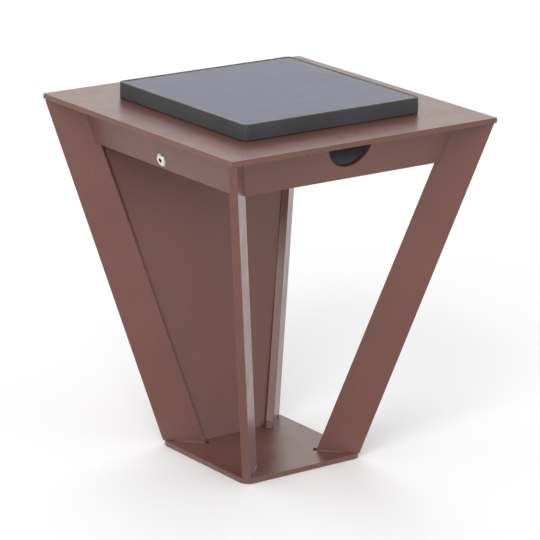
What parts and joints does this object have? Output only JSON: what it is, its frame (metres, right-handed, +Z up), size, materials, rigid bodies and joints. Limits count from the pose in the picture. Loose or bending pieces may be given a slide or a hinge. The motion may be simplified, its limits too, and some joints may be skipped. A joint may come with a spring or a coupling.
{
  "type": "solar wall light",
  "caption": "Solar wall light: diagonal fins hold a square top plate over a smaller base, with aprons, a closed wall panel and a solar lamp module that lifts out.",
  "frame": {"origin": "centre of the bottom plate's underside", "axes": "+Z up, +Y towards the wall side with the closed panel, -Y towards the apron with the finger notch, -X towards the lock screw"},
  "size_m": [0.24, 0.24, 0.2834],
  "materials": {
    "corten_coat": "fine textured rust-brown powder coat",
    "black_shell": "fine matte black",
    "cover_glass": "clear low-iron glass with a light sheen",
    "solar_silicon": "dark blue silicon",
    "ribbon_tin": "tinned copper ribbon",
    "backing_black": "black laminate backing",
    "seal_rubber": "soft black sealing rubber",
    "stainless": "satin stainless steel",
    "opal_lens": "opal diffuser",
    "reflector_white": "white reflector",
    "led_face": "phosphor yellow",
    "led_board": "white solder mask on aluminium",
    "tray_aluminium": "mill finish",
    "board_green": "green solder mask",
    "part_black": "moulded black",
    "cell_wrap": "shrink wrap",
    "contact_nickel": "nickel plate",
    "connector_white": "natural nylon",
    "lead_red": "insulated lead",
    "black_button": "soft-touch black cap"
  },
  "bodies": {
    "frame": {"top_plate": "corten_coat", "bottom_plate": "corten_coat", "fin_front": "corten_coat", "fin_right": "corten_coat", "fin_back": "corten_coat", "fin_left": "corten_coat", "apron_front_left": "corten_coat", "apron_front_right": "corten_coat", "apron_back_right": "corten_coat", "wall_panel": "corten_coat", "lock_nut": "stainless"},
    "module": {"bezel": "black_shell", "module_case": "black_shell", "seat_gasket": "seal_rubber", "panel_gasket": "seal_rubber", "cover_glass": "cover_glass", "solar_cells": "solar_silicon", "cell_ribbons": "ribbon_tin", "backing_board": "backing_black", "case_screws": "stainless", "lens_gasket": "seal_rubber", "diffuser_lens": "opal_lens", "reflector_frame": "reflector_white", "led_board": "led_board", "leds": "led_face", "inner_tray": "tray_aluminium", "inner_screws": "stainless", "battery_holder": "part_black", "battery_cells": "cell_wrap", "battery_contacts": "contact_nickel", "board_spacers": "contact_nickel", "control_board": "board_green", "board_parts": "part_black", "lead_connectors": "connector_white", "key_switch": "part_black", "button_seal": "seal_rubber", "battery_leads": "lead_red", "led_leads": "lead_red", "panel_leads": "lead_red"},
    "button": {"mode_button": "black_button"},
    "washer": {"lock_washer": "stainless"},
    "screw": {"lock_screw": "stainless"}
  },
  "joints": [
    {"name": "module_lift", "type": "slide", "parent": "frame", "child": "module", "axis": [0, 0, 1], "range_m": [0, 0.045]},
    {"name": "button_press", "type": "slide", "parent": "module", "child": "button", "axis": [0, 1, 0], "range_m": [0, 0.0008], "stiffness_N_per_m": 1500},
    {"name": "screw_travel", "type": "slide", "parent": "frame", "child": "washer", "axis": [-0.9724, 0, -0.2334], "range_m": [0, 0.0032]},
    {"name": "screw_turn", "type": "hinge", "parent": "washer", "child": "screw", "pos_m": [-0.0952, 0, 0.24269], "axis": [-0.9724, 0, -0.2334], "range_deg": [0, 1440]}
  ],
  "couplings": [
    {"joint": "screw_turn", "follows": "screw_travel", "rad_per_m": 7854}
  ]
}
